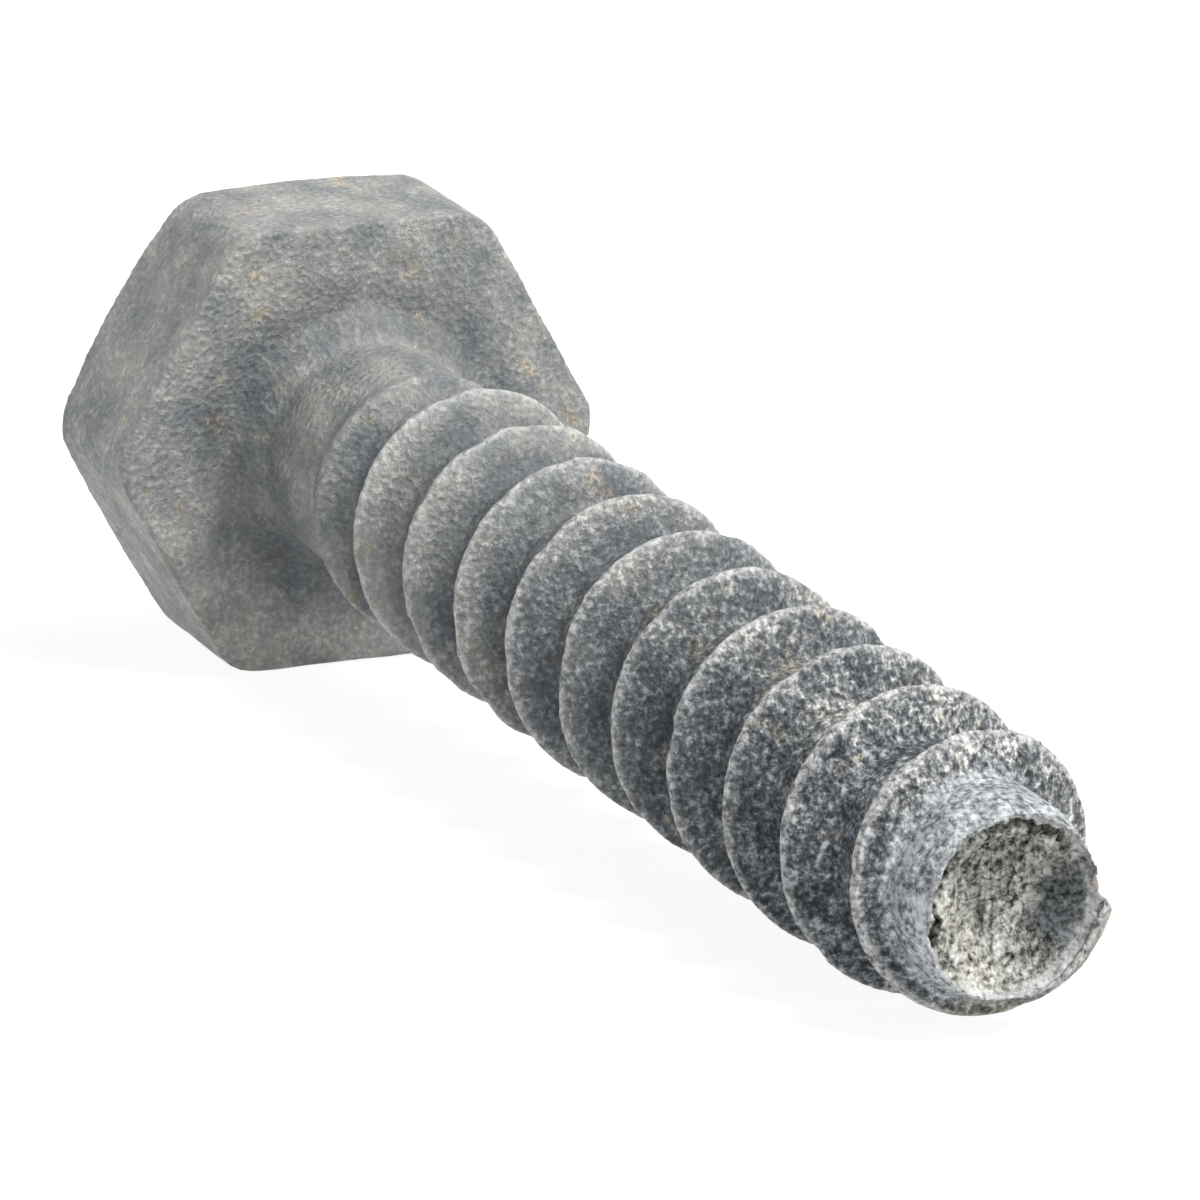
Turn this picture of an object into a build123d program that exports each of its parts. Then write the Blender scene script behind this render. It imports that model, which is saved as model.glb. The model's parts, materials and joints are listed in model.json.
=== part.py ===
from build123d import *
import math
import os

# A hexagon-head lag screw (hexagon wood screw), 6 mm by 40 mm, whose gimlet point has broken off.
# One piece of steel: forged head, smooth shank, rolled right-hand wood-screw thread.
# Millimetres. The screw is modelled upright about the Z axis with the seat of the head
# at height zero and the broken end below, then it is laid down as it rests on a table.

# Head
head_across_flats = 10.0
head_height = 4.0
head_corner_radius = 1.1
head_top_circle = 9.4
head_chamfer_angle = 30.0

# Shank
shank_diameter = 4.95
neck_flare = 0.6
smooth_length = 2.1
length_under_head = 31.7

# Thread
thread_diameter = 6.0
thread_root_diameter = 4.2
thread_pitch = 2.6
thread_crest_width = 0.3
thread_half_angle = 30.0
thread_runout_length = 2.5
first_crest_from_end = 1.1

# Broken end: the crest and the core both narrow towards the lost point
taper_length = 2.9
crest_diameter_at_end = 4.45
core_taper_length = 0.85
core_diameter_at_end = 3.7
break_bowl_depth = 0.5
break_bowl_diameter = 3.1
break_slope = 0.22
break_unevenness = 0.09
lost_ridge_turn = 3.0
lost_ridge_length = 1.4

# Modelling allowances
cut_over = 1.0
ridge_sink = 0.26
ridge_over = 0.11

root_radius = thread_root_diameter / 2
crest_radius = thread_diameter / 2
shank_radius = shank_diameter / 2
end_height = -length_under_head


def turned(outline):
    """A solid of revolution about the Z axis from points given as (radius, height)."""
    return revolve(Plane.XZ * make_face(Polyline(*outline, close=True)), Axis.Z)


def hexagon_head():
    """Hexagon with one flat square to X, rounded corners and a turned top chamfer."""
    outline = RegularPolygon(head_across_flats / 2, 6, major_radius=False, rotation=30)
    head = extrude(outline, head_height)
    head = fillet(head.edges().filter_by(Axis.Z), head_corner_radius)
    top_radius = head_top_circle / 2
    reach = head_across_flats - top_radius
    drop = reach * math.tan(math.radians(head_chamfer_angle))
    chamfer = turned([
        (0, -drop),
        (head_across_flats, -drop),
        (head_across_flats, head_height - drop),
        (top_radius, head_height),
        (0, head_height),
    ])
    return head & chamfer


def core():
    """Shank and thread core in one turned body, narrowing at the broken end."""
    runout_top = -smooth_length
    runout_bottom = runout_top - thread_runout_length
    end_radius = core_diameter_at_end / 2
    return turned([
        (0, end_height - cut_over),
        (end_radius, end_height - cut_over),
        (end_radius, end_height),
        (root_radius, end_height + core_taper_length),
        (root_radius, runout_bottom),
        (shank_radius, runout_top),
        (shank_radius, -neck_flare),
        (shank_radius + neck_flare, 0),
        (shank_radius + neck_flare, head_height / 2),
        (0, head_height / 2),
    ])


def thread_limit():
    """The turned space that the thread crests fill, sinking into the shank and at the end."""
    runout_top = -smooth_length
    end_radius = crest_diameter_at_end / 2
    slope = (crest_radius - end_radius) / taper_length
    return turned([
        (0, end_height - cut_over),
        (end_radius - slope * cut_over, end_height - cut_over),
        (crest_radius, end_height + taper_length),
        (crest_radius, runout_top - thread_runout_length),
        (shank_radius - ridge_sink, runout_top),
        (0, runout_top),
    ])


def thread_turn(start):
    """One turn of a V ridge up a right-hand helix, its foot sunk in the core."""
    spread = math.tan(math.radians(thread_half_angle))
    foot_radius = root_radius - ridge_sink
    over_radius = crest_radius + ridge_over
    foot_half = thread_crest_width / 2 + (crest_radius - foot_radius) * spread
    over_half = thread_crest_width / 2 - ridge_over * spread
    profile = Polyline(
        (foot_radius, -foot_half),
        (over_radius, -over_half),
        (over_radius, over_half),
        (foot_radius, foot_half),
        close=True,
    )
    section = Pos(0, 0, start) * (Plane.XZ * make_face(profile))
    path = Helix(thread_pitch, thread_pitch, root_radius, center=(0, 0, start))
    return sweep(section, path=path, is_frenet=True)


def lost_ridge():
    """A block over the half turn of ridge at the end that went with the point."""
    block = Box(
        thread_diameter,
        2 * thread_diameter,
        cut_over + lost_ridge_length,
        align=(Align.MIN, Align.CENTER, Align.MIN),
    )
    return Rot(0, 0, lost_ridge_turn) * Pos(0, 0, end_height - cut_over) * block


def thread():
    """The turns of the thread, end to end, each trimmed to the turned limit."""
    start = end_height + first_crest_from_end - 1.5 * thread_pitch
    turns = math.ceil((-smooth_length - start) / thread_pitch)
    limit = thread_limit() - lost_ridge()
    return [thread_turn(start + n * thread_pitch) & limit for n in range(turns)]


def break_height(x, y):
    """Height of the broken surface: a sloping, uneven rim round a shallow bowl."""
    out = math.hypot(x, y) / (break_bowl_diameter / 2)
    around = math.atan2(y, x)
    bowl = break_bowl_depth / (1 + out ** 4)
    rim = break_unevenness * math.cos(3 * around + 0.6) * out ** 2 / (1 + out ** 2)
    slope = break_slope * y / thread_diameter
    return end_height + bowl + rim + slope


def break_cutter():
    """Everything beyond the broken surface."""
    steps = 16
    span = thread_diameter
    grid = [span * (i / steps - 0.5) for i in range(steps + 1)]
    surface = Face.make_surface_from_array_of_points(
        [[(x, y, break_height(x, y)) for x in grid] for y in grid]
    )
    return extrude(surface, 3 * cut_over, dir=(0, 0, -1))


def lag_screw():
    return core() + hexagon_head() + thread() - break_cutter()


def crest_radius_at(height):
    """Crest radius at a height, where the taper towards the lost point counts."""
    end_radius = crest_diameter_at_end / 2
    share = min(1, (height - end_height) / taper_length)
    return end_radius + share * (crest_radius - end_radius)


def resting_tilt():
    """Degrees that the axis dips when a head flat's edge and one crest touch the table."""
    turns = int((length_under_head - smooth_length) / thread_pitch)
    heights = [end_height + first_crest_from_end + n * thread_pitch for n in range(turns)]
    return min(
        math.degrees(math.atan2(head_across_flats / 2 - crest_radius_at(h), -h))
        for h in heights
    )


screw = Rot(0, resting_tilt() - 90, 0) * lag_screw()
box = screw.bounding_box()
screw = Pos(-box.center().X, -box.center().Y, -box.min.Z) * screw

os.makedirs("parts", exist_ok=True)
export_step(screw, "parts/lag_screw.step")
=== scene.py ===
import json
import math

import bpy
from mathutils import Matrix, Vector, noise as solid_noise


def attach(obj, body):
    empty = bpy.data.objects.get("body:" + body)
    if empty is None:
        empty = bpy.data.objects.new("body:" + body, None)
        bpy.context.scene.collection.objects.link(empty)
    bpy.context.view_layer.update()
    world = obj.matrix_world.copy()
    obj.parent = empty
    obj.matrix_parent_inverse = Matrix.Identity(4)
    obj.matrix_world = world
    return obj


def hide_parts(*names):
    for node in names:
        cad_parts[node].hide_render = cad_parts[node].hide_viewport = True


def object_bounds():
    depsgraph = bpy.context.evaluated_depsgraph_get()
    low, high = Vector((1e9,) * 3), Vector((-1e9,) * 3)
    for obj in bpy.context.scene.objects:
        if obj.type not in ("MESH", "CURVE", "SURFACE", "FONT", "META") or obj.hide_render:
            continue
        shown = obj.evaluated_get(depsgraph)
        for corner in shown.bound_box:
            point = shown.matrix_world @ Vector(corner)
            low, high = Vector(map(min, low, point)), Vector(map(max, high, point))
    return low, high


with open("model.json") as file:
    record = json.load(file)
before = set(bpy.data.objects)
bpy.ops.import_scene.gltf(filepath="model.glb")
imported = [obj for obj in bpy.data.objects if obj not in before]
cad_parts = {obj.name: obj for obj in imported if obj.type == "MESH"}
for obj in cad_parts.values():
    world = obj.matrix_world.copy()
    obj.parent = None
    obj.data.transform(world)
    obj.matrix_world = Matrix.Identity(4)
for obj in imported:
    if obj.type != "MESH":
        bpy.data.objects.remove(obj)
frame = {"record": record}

cad_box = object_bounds()
mm = 0.001

# The seat of the head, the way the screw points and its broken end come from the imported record.
mounts = {mount["name"]: mount for mount in frame["record"]["mounts"]}
seat_centre = Vector(mounts["head_seat"]["pos_m"])
along = Vector(mounts["head_seat"]["axis"]).normalized()
thread_middle = Vector(mounts["wood_thread"]["pos_m"])
thread_radius = mounts["wood_thread"]["dims"]["r_mm"]
broken_end = thread_middle + along * mounts["wood_thread"]["dims"]["length_mm"] / 2 * mm
length_left = (broken_end - seat_centre).dot(along) / mm
sideways = Vector((0, 1, 0))
upwards = along.cross(sideways).normalized()

# Sizes of the screw's skin, in millimetres
skin_step = 0.12
thread_pitch = 2.6
thread_start = 4.6
first_crest_from_end = 1.1
crest_half_width = 0.11
core_radius = 2.1
core_radius_at_end = 1.85
core_taper = 0.85
break_radius = 1.95
break_depth = 0.95
crest_radius_at_end = 2.22
crest_taper = 2.9
finer_skin_length = 3.4
stub_length = 2.3
last_ridge_length = 1.6
crack_radius = 1.52
nick_depth = 0.07
bowl_depth = 0.2
crack_depth = 0.26

scene = bpy.context.scene


def view_frame(azimuth, elevation):
    """Right, up and towards-the-viewer directions of a level camera."""
    back = Vector((
        math.cos(elevation) * math.cos(azimuth),
        math.cos(elevation) * math.sin(azimuth),
        math.sin(elevation),
    ))
    right = Vector((0, 0, 1)).cross(back).normalized()
    return right, back.cross(right), back


def add_camera():
    """Long-lens camera that looks back along the screw from beyond its broken end."""
    right, up, back = view_frame(math.radians(-24.65), math.radians(14.33))
    distance = 198 * mm
    view_width = 22.86 * mm
    sensor_width = 36
    centre = broken_end - right * 7.96 * mm + up * 5.94 * mm
    data = bpy.data.cameras.new("camera")
    data.sensor_width = sensor_width
    data.lens = sensor_width * distance / view_width
    data.clip_start = 0.01
    camera = bpy.data.objects.new("camera", data)
    scene.collection.objects.link(camera)
    camera.location = centre + back * distance
    camera.rotation_euler = back.to_track_quat("Z", "Y").to_euler()
    scene.camera = camera


def add_lamp(name, azimuth, elevation, distance, size, power):
    """Square soft box aimed at the middle of the screw; angles in degrees, power in watts."""
    data = bpy.data.lights.new(name, "AREA")
    data.size = size
    data.energy = power
    lamp = bpy.data.objects.new(name, data)
    scene.collection.objects.link(lamp)
    _, _, back = view_frame(math.radians(azimuth), math.radians(elevation))
    lamp.location = back * distance
    lamp.rotation_euler = back.to_track_quat("Z", "Y").to_euler()


def node(tree, kind, place, **values):
    """A shader node at a place in the tree, with its settings and its sockets' values."""
    made = tree.nodes.new(kind)
    made.location = place
    for name, value in values.items():
        if name in made.inputs:
            made.inputs[name].default_value = value
        else:
            setattr(made, name, value)
    return made


def seen_rays(tree):
    """1 for the rays that show the background: to the lens, in a gloss or through glass."""
    path = node(tree, "ShaderNodeLightPath", (0, 500))
    mirrored = node(tree, "ShaderNodeMath", (150, 400), operation="MAXIMUM")
    tree.links.new(path.outputs["Is Glossy Ray"], mirrored.inputs[0])
    tree.links.new(path.outputs["Is Transmission Ray"], mirrored.inputs[1])
    seen = node(tree, "ShaderNodeMath", (300, 300), operation="MAXIMUM")
    tree.links.new(path.outputs["Is Camera Ray"], seen.inputs[0])
    tree.links.new(mirrored.outputs[0], seen.inputs[1])
    return seen.outputs[0]


def add_floor():
    """Pale floor that keeps the screw's shadow and looks white to the lens."""
    bpy.ops.object.select_all(action="DESELECT")
    bpy.ops.mesh.primitive_plane_add(size=4, location=(0, 0, 0))
    floor = bpy.context.object
    floor.name = "floor"
    material = bpy.data.materials.new("pale_floor")
    material.use_nodes = True
    tree = material.node_tree
    tree.nodes.clear()
    output = node(tree, "ShaderNodeOutputMaterial", (600, 0))
    matte = node(tree, "ShaderNodeBsdfDiffuse", (0, 0), Color=(0.8, 0.8, 0.8, 1))
    faint = node(tree, "ShaderNodeBsdfDiffuse", (0, -100), Color=(0.36, 0.36, 0.36, 1))
    lift = node(tree, "ShaderNodeEmission", (0, -200), Color=(1, 1, 1, 1), Strength=0.9)
    both = node(tree, "ShaderNodeAddShader", (200, -80))
    pick = node(tree, "ShaderNodeMixShader", (400, 0))
    tree.links.new(faint.outputs[0], both.inputs[0])
    tree.links.new(lift.outputs[0], both.inputs[1])
    tree.links.new(seen_rays(tree), pick.inputs[0])
    tree.links.new(matte.outputs[0], pick.inputs[1])
    tree.links.new(both.outputs[0], pick.inputs[2])
    tree.links.new(pick.outputs[0], output.inputs["Surface"])
    floor.data.materials.append(material)


def add_world():
    """Even studio light, white where the lens sees past the floor."""
    world = bpy.data.worlds.new("studio")
    world.use_nodes = True
    tree = world.node_tree
    tree.nodes.clear()
    output = node(tree, "ShaderNodeOutputWorld", (600, 0))
    room = node(tree, "ShaderNodeBackground", (0, 0), Color=(0.9, 0.95, 1, 1), Strength=0.2)
    white = node(tree, "ShaderNodeBackground", (0, -150), Color=(1, 1, 1, 1), Strength=1)
    pick = node(tree, "ShaderNodeMixShader", (400, 0))
    tree.links.new(seen_rays(tree), pick.inputs[0])
    tree.links.new(room.outputs[0], pick.inputs[1])
    tree.links.new(white.outputs[0], pick.inputs[2])
    tree.links.new(pick.outputs[0], output.inputs["Surface"])
    scene.world = world


def place_on_screw(point):
    """Distance past the head's seat, distance from the axis, and turn from the top, in mm."""
    reach = point - seat_centre / mm
    past_seat = reach.dot(along)
    up = reach.dot(upwards)
    side = reach.dot(sideways)
    return past_seat, math.hypot(up, side), math.degrees(math.atan2(side, up))


def crest_radius(past_seat):
    """Radius of the thread's crest, which narrows towards the lost point."""
    share = min(1, (length_left - past_seat) / crest_taper)
    return crest_radius_at_end + share * (thread_radius - crest_radius_at_end)


def ridge_radius(past_seat, turn):
    """Radius of the skin between core and sharp crest at a place along and round the screw."""
    crest = length_left - first_crest_from_end + (180 - turn) / 360 * thread_pitch
    off = (past_seat - crest + thread_pitch / 2) % thread_pitch - thread_pitch / 2
    flank = crest_radius(past_seat) - max(0, abs(off) - crest_half_width) * math.sqrt(3)
    share = min(1, (length_left - past_seat) / core_taper)
    core = core_radius_at_end + share * (core_radius - core_radius_at_end)
    return max(core, flank)


def ramp(value, start, end):
    """0 below start, 1 above end, and a smooth step between."""
    share = min(1, max(0, (value - start) / (end - start)))
    return share * share * (3 - 2 * share)


def apply_modifier(piece, kind, **values):
    """Add a modifier with its settings and apply it at once."""
    modifier = piece.modifiers.new(kind.lower(), kind)
    for name, value in values.items():
        setattr(modifier, name, value)
    bpy.ops.object.modifier_apply(modifier=modifier.name)


def cloud(name, size, octaves, contrast=1.0):
    """Procedural cloud for the relief of the coat, with its grain size in mm."""
    texture = bpy.data.textures.new(name, "CLOUDS")
    texture.noise_scale = size
    texture.noise_depth = octaves
    texture.contrast = contrast
    texture.noise_basis = "ORIGINAL_PERLIN"
    return texture


def refine_near_end(piece, past_seat):
    """Halve the faces of the skin beyond a distance past the seat."""
    for face in piece.data.polygons:
        face.select = place_on_screw(face.center)[0] > past_seat
    bpy.ops.object.mode_set(mode="EDIT")
    bpy.ops.mesh.select_mode(type="FACE")
    bpy.ops.mesh.subdivide(number_cuts=1, smoothness=0)
    bpy.ops.object.mode_set(mode="OBJECT")


def refine_break(piece):
    """Halve the faces of the broken surface and its rim once more."""
    for face in piece.data.polygons:
        past_seat, out, _ = place_on_screw(face.center)
        face.select = past_seat > length_left - break_depth and out < break_radius + 0.15
    bpy.ops.object.mode_set(mode="EDIT")
    bpy.ops.mesh.subdivide(number_cuts=1, smoothness=0)
    bpy.ops.object.mode_set(mode="OBJECT")


def sharpen_ridge(piece):
    """Draw the skin of the thread in to a sharp, nicked crest that ends at the notch."""
    for vertex in piece.data.vertices:
        past_seat, out, turn = place_on_screw(vertex.co)
        if past_seat < thread_start or out < core_radius_at_end:
            continue
        limit = ridge_radius(past_seat, turn)
        if past_seat > length_left - last_ridge_length and 60 < turn < 120:
            limit -= (limit - core_radius_at_end) * (1 - ramp(turn, 86, 100)) * 0.8
        if out > crest_radius(past_seat) - 0.4:
            limit -= nick_depth * ramp(solid_noise.noise(vertex.co * 1.1), 0.05, 0.6)
        if out > limit:
            axis_point = seat_centre / mm + along * past_seat
            vertex.co = axis_point + (vertex.co - axis_point) * limit / out


def weigh(piece, name, rule):
    """Vertex group whose weight follows the place and the normal on the screw."""
    group = piece.vertex_groups.new(name=name)
    levels = {}
    for vertex in piece.data.vertices:
        past_seat, out, turn = place_on_screw(vertex.co)
        weight = rule(past_seat, out, turn, vertex.normal)
        if weight > 0.01:
            levels.setdefault(round(weight, 2), []).append(vertex.index)
    for weight, indices in levels.items():
        group.add(indices, weight, "REPLACE")


def on_thread(past_seat, out, turn, normal):
    """Thread and its flanks, less so near the crest, which has to stay whole."""
    return ramp(past_seat, 1.5, 5) * (1 - 0.85 * on_ridge(past_seat, out, turn, normal))


def on_crest(past_seat, out, turn, normal):
    """The worn line along the crest of the thread, with a painted highlight."""
    if past_seat < 3:
        return 0
    return ramp(out, crest_radius(past_seat) - 0.16, crest_radius(past_seat) - 0.03)


def on_ridge(past_seat, out, turn, normal):
    """The upper half of the ridge, with its crest."""
    if past_seat < 3:
        return 0
    return ramp(out, crest_radius(past_seat) - 0.6, crest_radius(past_seat) - 0.3)


def on_valley_shade(past_seat, out, turn, normal):
    """Painted shade: darker between the crests, and a painted contact shadow on the seat round
    the neck.
    """
    if -0.4 < past_seat < 0.6:
        return ramp(out, 2.4, 2.8) * (1 - ramp(out, 3.1, 4.5)) * 0.85
    threaded = ramp(past_seat, 2.5, 5) * (1 - ramp(past_seat, length_left - 12, length_left - 5))
    return threaded * (1 - ramp(out, 2.3, 2.85))


def on_left_shade(past_seat, out, turn, normal):
    """Painted shade: the left flanks darker, seen from the broken end."""
    left = ramp(-turn, 30, 65) * (1 - ramp(-turn, 140, 170))
    near_end = ramp(past_seat, length_left - 24, length_left - 7)
    return left * near_end * (1 - on_stub(past_seat, out, turn, normal))


def on_break_shade(past_seat, out, turn, normal):
    """Painted shade: the darker area in the right of the broken surface."""
    if past_seat < length_left - break_depth:
        return 0
    band = ramp(out, 0.55, 1.0) * (1 - ramp(out, 1.55, 1.75))
    return band * ramp(turn, 55, 85) * (1 - ramp(turn, 120, 150))


def on_rim_highlight(past_seat, out, turn, normal):
    """Painted highlight: the paler rim round the broken surface."""
    if past_seat < length_left - 0.6:
        return 0
    return ramp(out, 1.6, 1.74) * (1 - ramp(out, 1.88, 2.0))


def on_break(past_seat, out, turn, normal):
    """The broken surface, fading out towards its rim."""
    facing = ramp(normal.dot(along), 0.3, 0.7)
    inside = 1 - ramp(out, break_radius - 0.4, break_radius - 0.02)
    return facing * inside * ramp(past_seat, length_left - break_depth, length_left - 0.7)


def on_bowl(past_seat, out, turn, normal):
    """The hollow in the middle of the broken surface."""
    if past_seat < length_left - break_depth:
        return 0
    return 1 - ramp(out, 0.4, 1.62)


def on_stub(past_seat, out, turn, normal):
    """The paler core between the last crest and the break."""
    bare = 1 - ramp(out, core_radius + 0.04, core_radius + 0.22)
    return ramp(past_seat, length_left - stub_length, length_left - 1.9) * bare


def on_rim(past_seat, out, turn, normal):
    """The outer edge of the broken end."""
    near_end = ramp(past_seat, length_left - 0.5, length_left - 0.1)
    return near_end * ramp(out, break_radius - 0.45, break_radius - 0.2)


def on_crack(past_seat, out, turn, normal):
    """Crack by the left of the rim, and a shallow seam over its top."""
    if past_seat < length_left - break_depth:
        return 0
    line = crack_radius + 0.06 * math.sin(turn * 0.21) + 0.04 * math.sin(turn * 0.53)
    width = 1 - ramp(abs(out - line), 0.04, 0.13)
    crack = ramp(turn, -122, -106) * (1 - ramp(turn, -62, -50))
    seam = ramp(turn, -58, -44) * (1 - ramp(turn, 40, 66))
    return width * max(crack, 0.55 * seam)


def on_stain_and_shade(past_seat, out, turn, normal):
    """Stain and painted shade on the last ridge, most of it low down."""
    if past_seat < length_left - 1.5 or out < 1.9:
        return 0
    return max(0.75 * ramp(turn, 92, 105), ramp(abs(turn), 150, 172))


def on_ridge_end(past_seat, out, turn, normal):
    """The edge beside the notch where the last ridge broke away."""
    if past_seat < length_left - 0.9 or out < 1.7:
        return 0
    return ramp(turn, 68, 75) * (1 - ramp(turn, 90, 97))


def paint(piece, name, group):
    """Copy a vertex group's weights into an attribute that the material reads."""
    layer = piece.data.attributes.new(name, "FLOAT", "POINT")
    values = [0.0] * len(piece.data.vertices)
    for vertex in piece.data.vertices:
        for element in vertex.groups:
            if element.group == group.index:
                values[vertex.index] = element.weight
    layer.data.foreach_set("value", values)


def weathered_screw(solid):
    """The solid's own form under a rough zinc skin, with a grainy break."""
    mesh = solid.data.copy()
    mesh.transform(Matrix.Scale(1 / mm, 4))
    piece = bpy.data.objects.new("weathered_screw", mesh)
    scene.collection.objects.link(piece)
    bpy.ops.object.select_all(action="DESELECT")
    piece.select_set(True)
    bpy.context.view_layer.objects.active = piece
    apply_modifier(piece, "WELD", merge_threshold=0.0005)
    apply_modifier(piece, "REMESH", mode="VOXEL", voxel_size=skin_step, adaptivity=0)
    refine_near_end(piece, length_left - finer_skin_length)
    refine_break(piece)
    sharpen_ridge(piece)

    weigh(piece, "ridge", on_ridge)
    apply_modifier(piece, "SMOOTH", factor=0.5, iterations=3, vertex_group="ridge")
    for name, rule in (
        ("thread", on_thread), ("crest", on_crest), ("valley_shade", on_valley_shade), ("left_shade", on_left_shade),
        ("break_shade", on_break_shade), ("rim_highlight", on_rim_highlight), ("break", on_break), ("rim", on_rim),
        ("crack", on_crack), ("bowl", on_bowl), ("stub", on_stub), ("stain", on_stain_and_shade),
        ("ridge_end", on_ridge_end),
    ):
        weigh(piece, name, rule)

    # Each cloud goes inwards only, by up to its depth in mm, where its group has weight.
    relief = [
        (cloud("coat_swell", 1.1, 1), 0.05, ""),
        (cloud("coat_grain", 0.24, 2, 1.3), 0.045, "thread"),
        (cloud("head_grain", 0.6, 2, 1.0), 0.02, ""),
        (cloud("break_lumps", 0.8, 2, 1.5), 0.24, "break"),
        (cloud("break_grain", 0.2, 3, 1.6), 0.10, "break"),
        (cloud("rim_chips", 0.6, 1, 2.0), 0.06, "rim"),
    ]
    for texture, depth, group in relief:
        apply_modifier(
            piece, "DISPLACE", texture=texture, strength=depth, mid_level=1, vertex_group=group
        )
    apply_modifier(piece, "DISPLACE", strength=-bowl_depth, mid_level=0, vertex_group="bowl")
    apply_modifier(piece, "DISPLACE", strength=-crack_depth, mid_level=0, vertex_group="crack")
    apply_modifier(piece, "SMOOTH", factor=0.5, iterations=1)

    for name, attribute in (
        ("crest", "worn_and_highlit"), ("break", "broken"), ("crack", "cracked"),
        ("stub", "bare"), ("ridge_end", "rusty"), ("stain", "stained_and_shaded"),
        ("valley_shade", "painted_shade"), ("left_shade", "painted_left_shade"), ("break_shade", "painted_break_shade"), ("rim_highlight", "painted_rim_highlight"),
    ):
        paint(piece, attribute, piece.vertex_groups[name])
    piece.vertex_groups.clear()

    mesh = piece.data
    mesh.transform(Matrix.Scale(mm, 4))
    low, high = cad_box
    for vertex in mesh.vertices:
        vertex.co = Vector(map(max, low, map(min, high, vertex.co)))
    for face in mesh.polygons:
        face.use_smooth = True
    mesh.materials.clear()
    mesh.materials.append(galvanised_steel())
    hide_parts("lag_screw")
    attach(piece, "root")


def feed(tree, socket, value):
    """Link a socket, or set a colour or a number on it."""
    if isinstance(value, bpy.types.NodeSocket):
        tree.links.new(value, socket)
    elif isinstance(value, tuple):
        socket.default_value = (*value, 1)
    else:
        socket.default_value = value


def colour_ramp(tree, place, level, *stops):
    """Colour of a level, from (position, colour) stops."""
    made = node(tree, "ShaderNodeValToRGB", place)
    elements = made.color_ramp.elements
    while len(elements) < len(stops):
        elements.new(0.5)
    for element, (position, colour) in zip(elements, stops):
        element.position = position
        element.color = (*colour, 1)
    feed(tree, made.inputs[0], level)
    return made.outputs[0]


def mix(tree, place, blend, share, first, second):
    """Colour mix of two sockets or colours; share is a number or a socket."""
    made = node(tree, "ShaderNodeMix", place, data_type="RGBA", blend_type=blend)
    for index, value in ((0, share), (6, first), (7, second)):
        feed(tree, made.inputs[index], value)
    return made.outputs[2]


def calculate(tree, place, operation, *values):
    """Result of a sum on numbers and sockets."""
    made = node(tree, "ShaderNodeMath", place, operation=operation)
    for socket, value in zip(made.inputs, values):
        feed(tree, socket, value)
    return made.outputs[0]


def rescale(tree, place, level, from_min, from_max, to_min, to_max):
    """A level moved from one range to another."""
    made = node(
        tree, "ShaderNodeMapRange", place,
        **{"From Min": from_min, "From Max": from_max, "To Min": to_min, "To Max": to_max},
    )
    feed(tree, made.inputs["Value"], level)
    return made.outputs[0]


def bump(tree, place, height, strength, depth, below=None):
    """Normal roughened by a height; depth is in metres, and below is the coarser bump."""
    made = node(tree, "ShaderNodeBump", place, Strength=strength, Distance=depth)
    feed(tree, made.inputs["Height"], height)
    if below:
        feed(tree, made.inputs["Normal"], below)
    return made.outputs[0]


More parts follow.
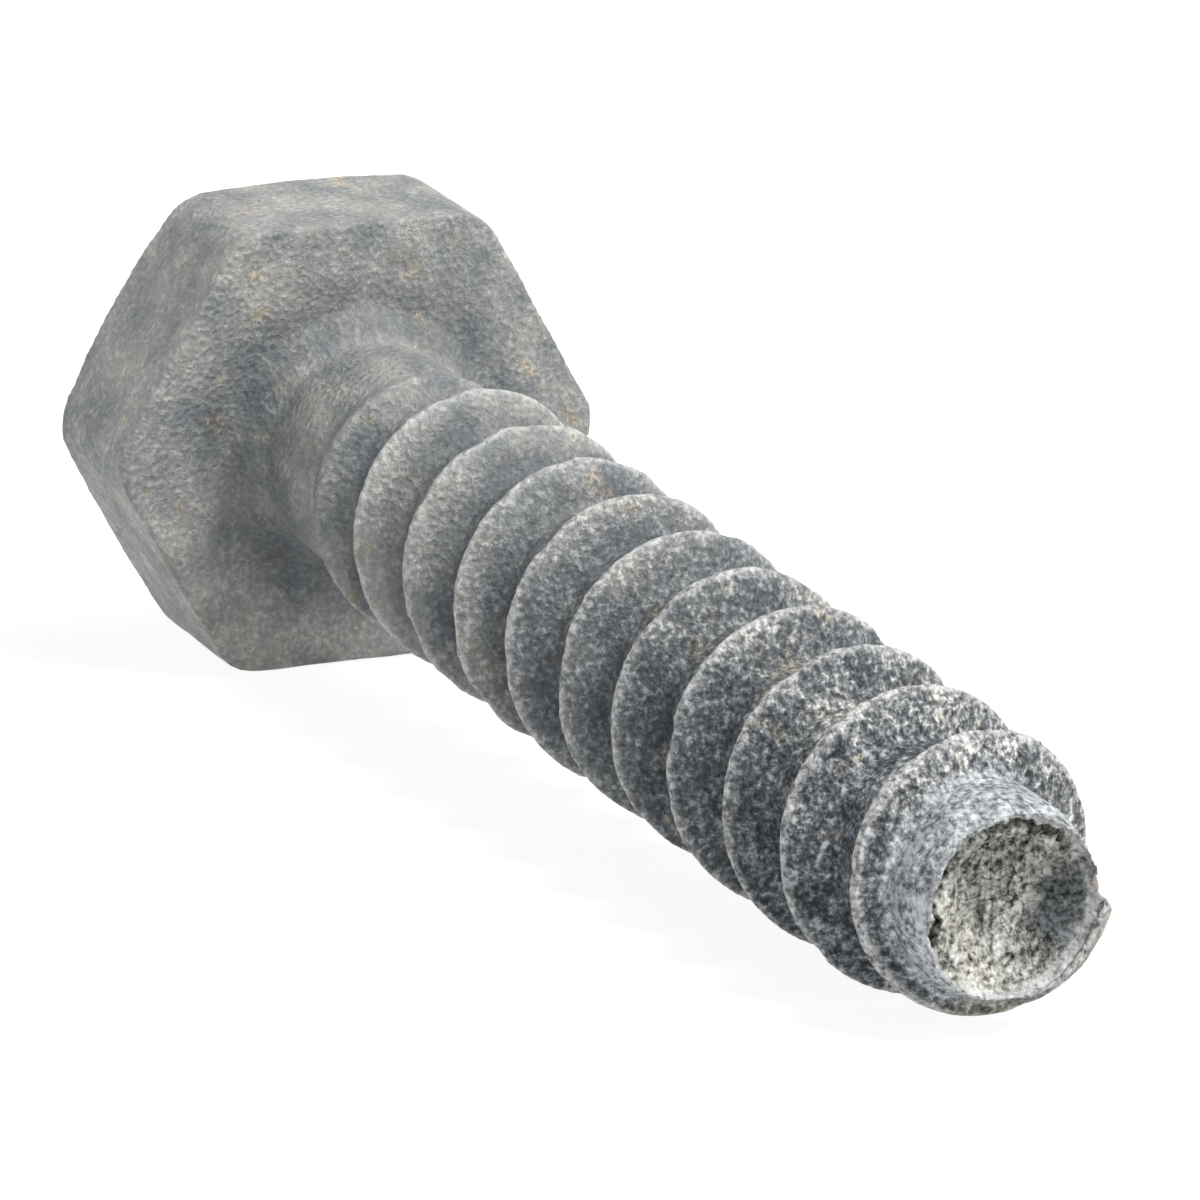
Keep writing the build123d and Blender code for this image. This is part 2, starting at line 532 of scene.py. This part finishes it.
def galvanised_steel():
    """Weathered zinc coat: dark bluish-grey and pale grains, warm flecks, rubbed crests with a
    painted highlight, grainy break; painted shade between the crests, round the neck, on the left
    flanks, low on the last ridge and in the right of the break, and a painted highlight on the
    break's rim.
    """
    material = bpy.data.materials.new("galvanised_steel")
    material.use_nodes = True
    tree = material.node_tree
    shader = tree.nodes["Principled BSDF"]
    shader.location = (1400, 0)
    shader.inputs["Metallic"].default_value = 0.4
    place = node(tree, "ShaderNodeTexCoord", (-1600, 0))
    in_mm = node(tree, "ShaderNodeMapping", (-1400, 0), Scale=(1 / mm, 1 / mm, 1 / mm))
    feed(tree, in_mm.inputs["Vector"], place.outputs["Object"])

    def noise(where, scale, detail, roughness, distortion=0.0):
        made = node(
            tree, "ShaderNodeTexNoise", where, Scale=scale, Detail=detail,
            Roughness=roughness, Distortion=distortion,
        )
        feed(tree, made.inputs["Vector"], in_mm.outputs[0])
        return made.outputs[0]

    def painted(where, name):
        made = node(tree, "ShaderNodeAttribute", where, attribute_name=name)
        return made.outputs["Fac"]

    def times(where, *factors):
        return calculate(tree, where, "MULTIPLY", *factors)

    # Grains of the coat, coarse to fine; scales are grains per millimetre
    grain = noise((-1100, 400), 7.5, 7, 0.66)
    clump = noise((-1100, 600), 1.9, 4, 0.62, 0.6)
    patch = noise((-1100, 200), 0.7, 4, 0.6)
    stain = noise((-1100, 0), 1.3, 5, 0.65, 0.4)
    speck = noise((-1100, -200), 19, 4, 0.6)
    pits = node(tree, "ShaderNodeTexVoronoi", (-1100, -400), Scale=6.5)
    feed(tree, pits.inputs["Vector"], in_mm.outputs[0])

    # Nearness to the broken end, where the grain shows most
    end_place = node(tree, "ShaderNodeVectorMath", (-1300, -800), operation="DISTANCE")
    feed(tree, end_place.inputs[0], place.outputs["Object"])
    end_place.inputs[1].default_value = broken_end
    near_end = rescale(
        tree, (-1100, -800), end_place.outputs["Value"], 6 * mm, 24 * mm, 1.0, 0.22
    )

    # The coat: grains in clumps, broad tones, warm stains and beige flecks
    clump_shift = calculate(tree, (-1000, 700), "MULTIPLY_ADD", clump, 0.42, -0.21)
    clumped = calculate(tree, (-900, 600), "ADD", clump_shift, grain)
    coat = colour_ramp(
        tree, (-800, 400), clumped,
        (0.35, (0.03, 0.035, 0.04)),
        (0.45, (0.13, 0.14, 0.15)),
        (0.54, (0.32, 0.33, 0.335)),
        (0.66, (0.95, 0.94, 0.89)),
    )
    calm = mix(tree, (-650, 500), "MIX", near_end, (0.4, 0.404, 0.392), coat)
    tone = colour_ramp(
        tree, (-800, 150), patch, (0.35, (0.66, 0.70, 0.74)), (0.65, (1.25, 1.22, 1.17))
    )
    toned = mix(tree, (-500, 300), "MULTIPLY", 1.0, calm, tone)
    warm = colour_ramp(tree, (-800, -50), stain, (0.58, (0, 0, 0)), (0.70, (1, 1, 1)))
    warmed = mix(tree, (-300, 250), "MULTIPLY", warm, toned, (1.2, 1.05, 0.85))
    beige = colour_ramp(tree, (-800, -450), clumped, (0.53, (0, 0, 0)), (0.60, (1, 1, 1)))
    beige_share = times((-350, 0), times((-450, 0), warm, beige), 0.7)
    flecked = mix(tree, (-200, 250), "MIX", beige_share, warmed, (0.72, 0.62, 0.5))

    # Painted shade between the crests, round the neck and on the left flanks, and dark specks
    # Painted shade: darker between the crests, and a ring of painted contact shadow round the
    # neck.
    painted_shade = mix(
        tree, (-150, 250), "MULTIPLY", painted((-300, 800), "painted_shade"), flecked,
        (0.55, 0.57, 0.6),
    )
    # Painted shade darkens the left flanks near the broken end.
    painted_left_shade = mix(
        tree, (-120, 250), "MULTIPLY", painted((-300, 900), "painted_left_shade"), painted_shade,
        (0.55, 0.59, 0.64),
    )
    dark = colour_ramp(tree, (-800, -300), speck, (0.34, (0.2, 0.2, 0.21)), (0.45, (1, 1, 1)))
    speck_share = times((-500, -300), near_end, 0.7)
    specked = mix(tree, (-100, 200), "MULTIPLY", speck_share, painted_left_shade, dark)

    # Barer zinc: the stub, the worn crests with a painted highlight, and the stain and painted
    # shade on the last ridge
    bare = colour_ramp(
        tree, (-100, 500), clumped,
        (0.36, (0.1, 0.11, 0.12)),
        (0.48, (0.38, 0.405, 0.43)),
        (0.62, (0.78, 0.8, 0.81)),
    )
    bared = mix(tree, (50, 350), "MIX", painted((-100, 700), "bare"), specked, bare)
    # Worn crests with a painted highlight: paler and brighter along the crest line.
    worn_and_highlit_share = times((50, 600), painted((-300, 600), "worn_and_highlit"), bare)
    worn_and_highlit = mix(tree, (250, 200), "MIX", worn_and_highlit_share, bared, (0.82, 0.81, 0.78))
    # Stain and painted shade: the last ridge darker and warmer, most of it low down.
    stained_and_shaded = mix(
        tree, (350, 300), "MULTIPLY", painted((250, 500), "stained_and_shaded"), worn_and_highlit, (0.7, 0.68, 0.58)
    )

    # The broken surface, the painted shade in its right and the painted highlight on its rim
    broken_grain = noise((-1100, -600), 7.0, 7, 0.68)
    broken_steel = colour_ramp(
        tree, (-800, -600), calculate(tree, (-950, -600), "ADD", clump_shift, broken_grain),
        (0.36, (0.03, 0.028, 0.023)),
        (0.44, (0.24, 0.235, 0.205)),
        (0.53, (0.58, 0.57, 0.515)),
        (0.66, (0.92, 0.91, 0.87)),
    )
    broken_tone = mix(tree, (-300, -500), "MULTIPLY", 0.5, broken_steel, tone)
    # Painted shade: the right of the broken surface darker and cooler.
    painted_break_shade = mix(
        tree, (-200, -500), "MULTIPLY", painted((-300, -700), "painted_break_shade"), broken_tone,
        (0.27, 0.31, 0.35),
    )
    broken = mix(tree, (500, 100), "MIX", painted((300, -100), "broken"), stained_and_shaded, painted_break_shade)
    # Painted highlight on the rim round the broken surface.
    rim_highlight_share = times((520, 350), times((500, 300), painted((300, 300), "painted_rim_highlight"), bare), 0.6)
    rim_highlighted = mix(tree, (550, 200), "MIX", rim_highlight_share, broken, (0.72, 0.72, 0.7))

    # A little rust beside the notch, and the crack
    rust = colour_ramp(tree, (300, -300), grain, (0.44, (0, 0, 0)), (0.52, (1, 1, 1)))
    rust_share = times((550, -300), times((500, -300), painted((300, -450), "rusty"), rust), 0.6)
    rusted = mix(tree, (600, 100), "MIX", rust_share, rim_highlighted, (0.21, 0.12, 0.085))
    cracked = mix(
        tree, (700, 100), "MIX", painted((500, -200), "cracked"), rusted, (0.03, 0.027, 0.025)
    )
    feed(tree, shader.inputs["Base Color"], cracked)

    # Pale grains are smoother than dark ones
    rough = rescale(tree, (700, -300), grain, 0.35, 0.7, 0.62, 0.36)
    feed(tree, shader.inputs["Roughness"], rough)
    coarse = bump(tree, (900, -500), grain, 1.0, 0.08 * mm)
    medium = bump(tree, (1050, -500), pits.outputs["Distance"], 0.7, 0.05 * mm, coarse)
    fine = bump(tree, (1200, -500), speck, 0.6, 0.025 * mm, medium)
    feed(tree, shader.inputs["Normal"], fine)
    return material


weathered_screw(bpy.data.objects["lag_screw"])
add_camera()
add_floor()
add_lamp("top_box", azimuth=38, elevation=56, distance=0.5, size=0.26, power=2.8)
add_lamp("front_box", azimuth=30, elevation=14, distance=0.6, size=0.3, power=0.25)
add_world()
scene.view_settings.view_transform = "Standard"
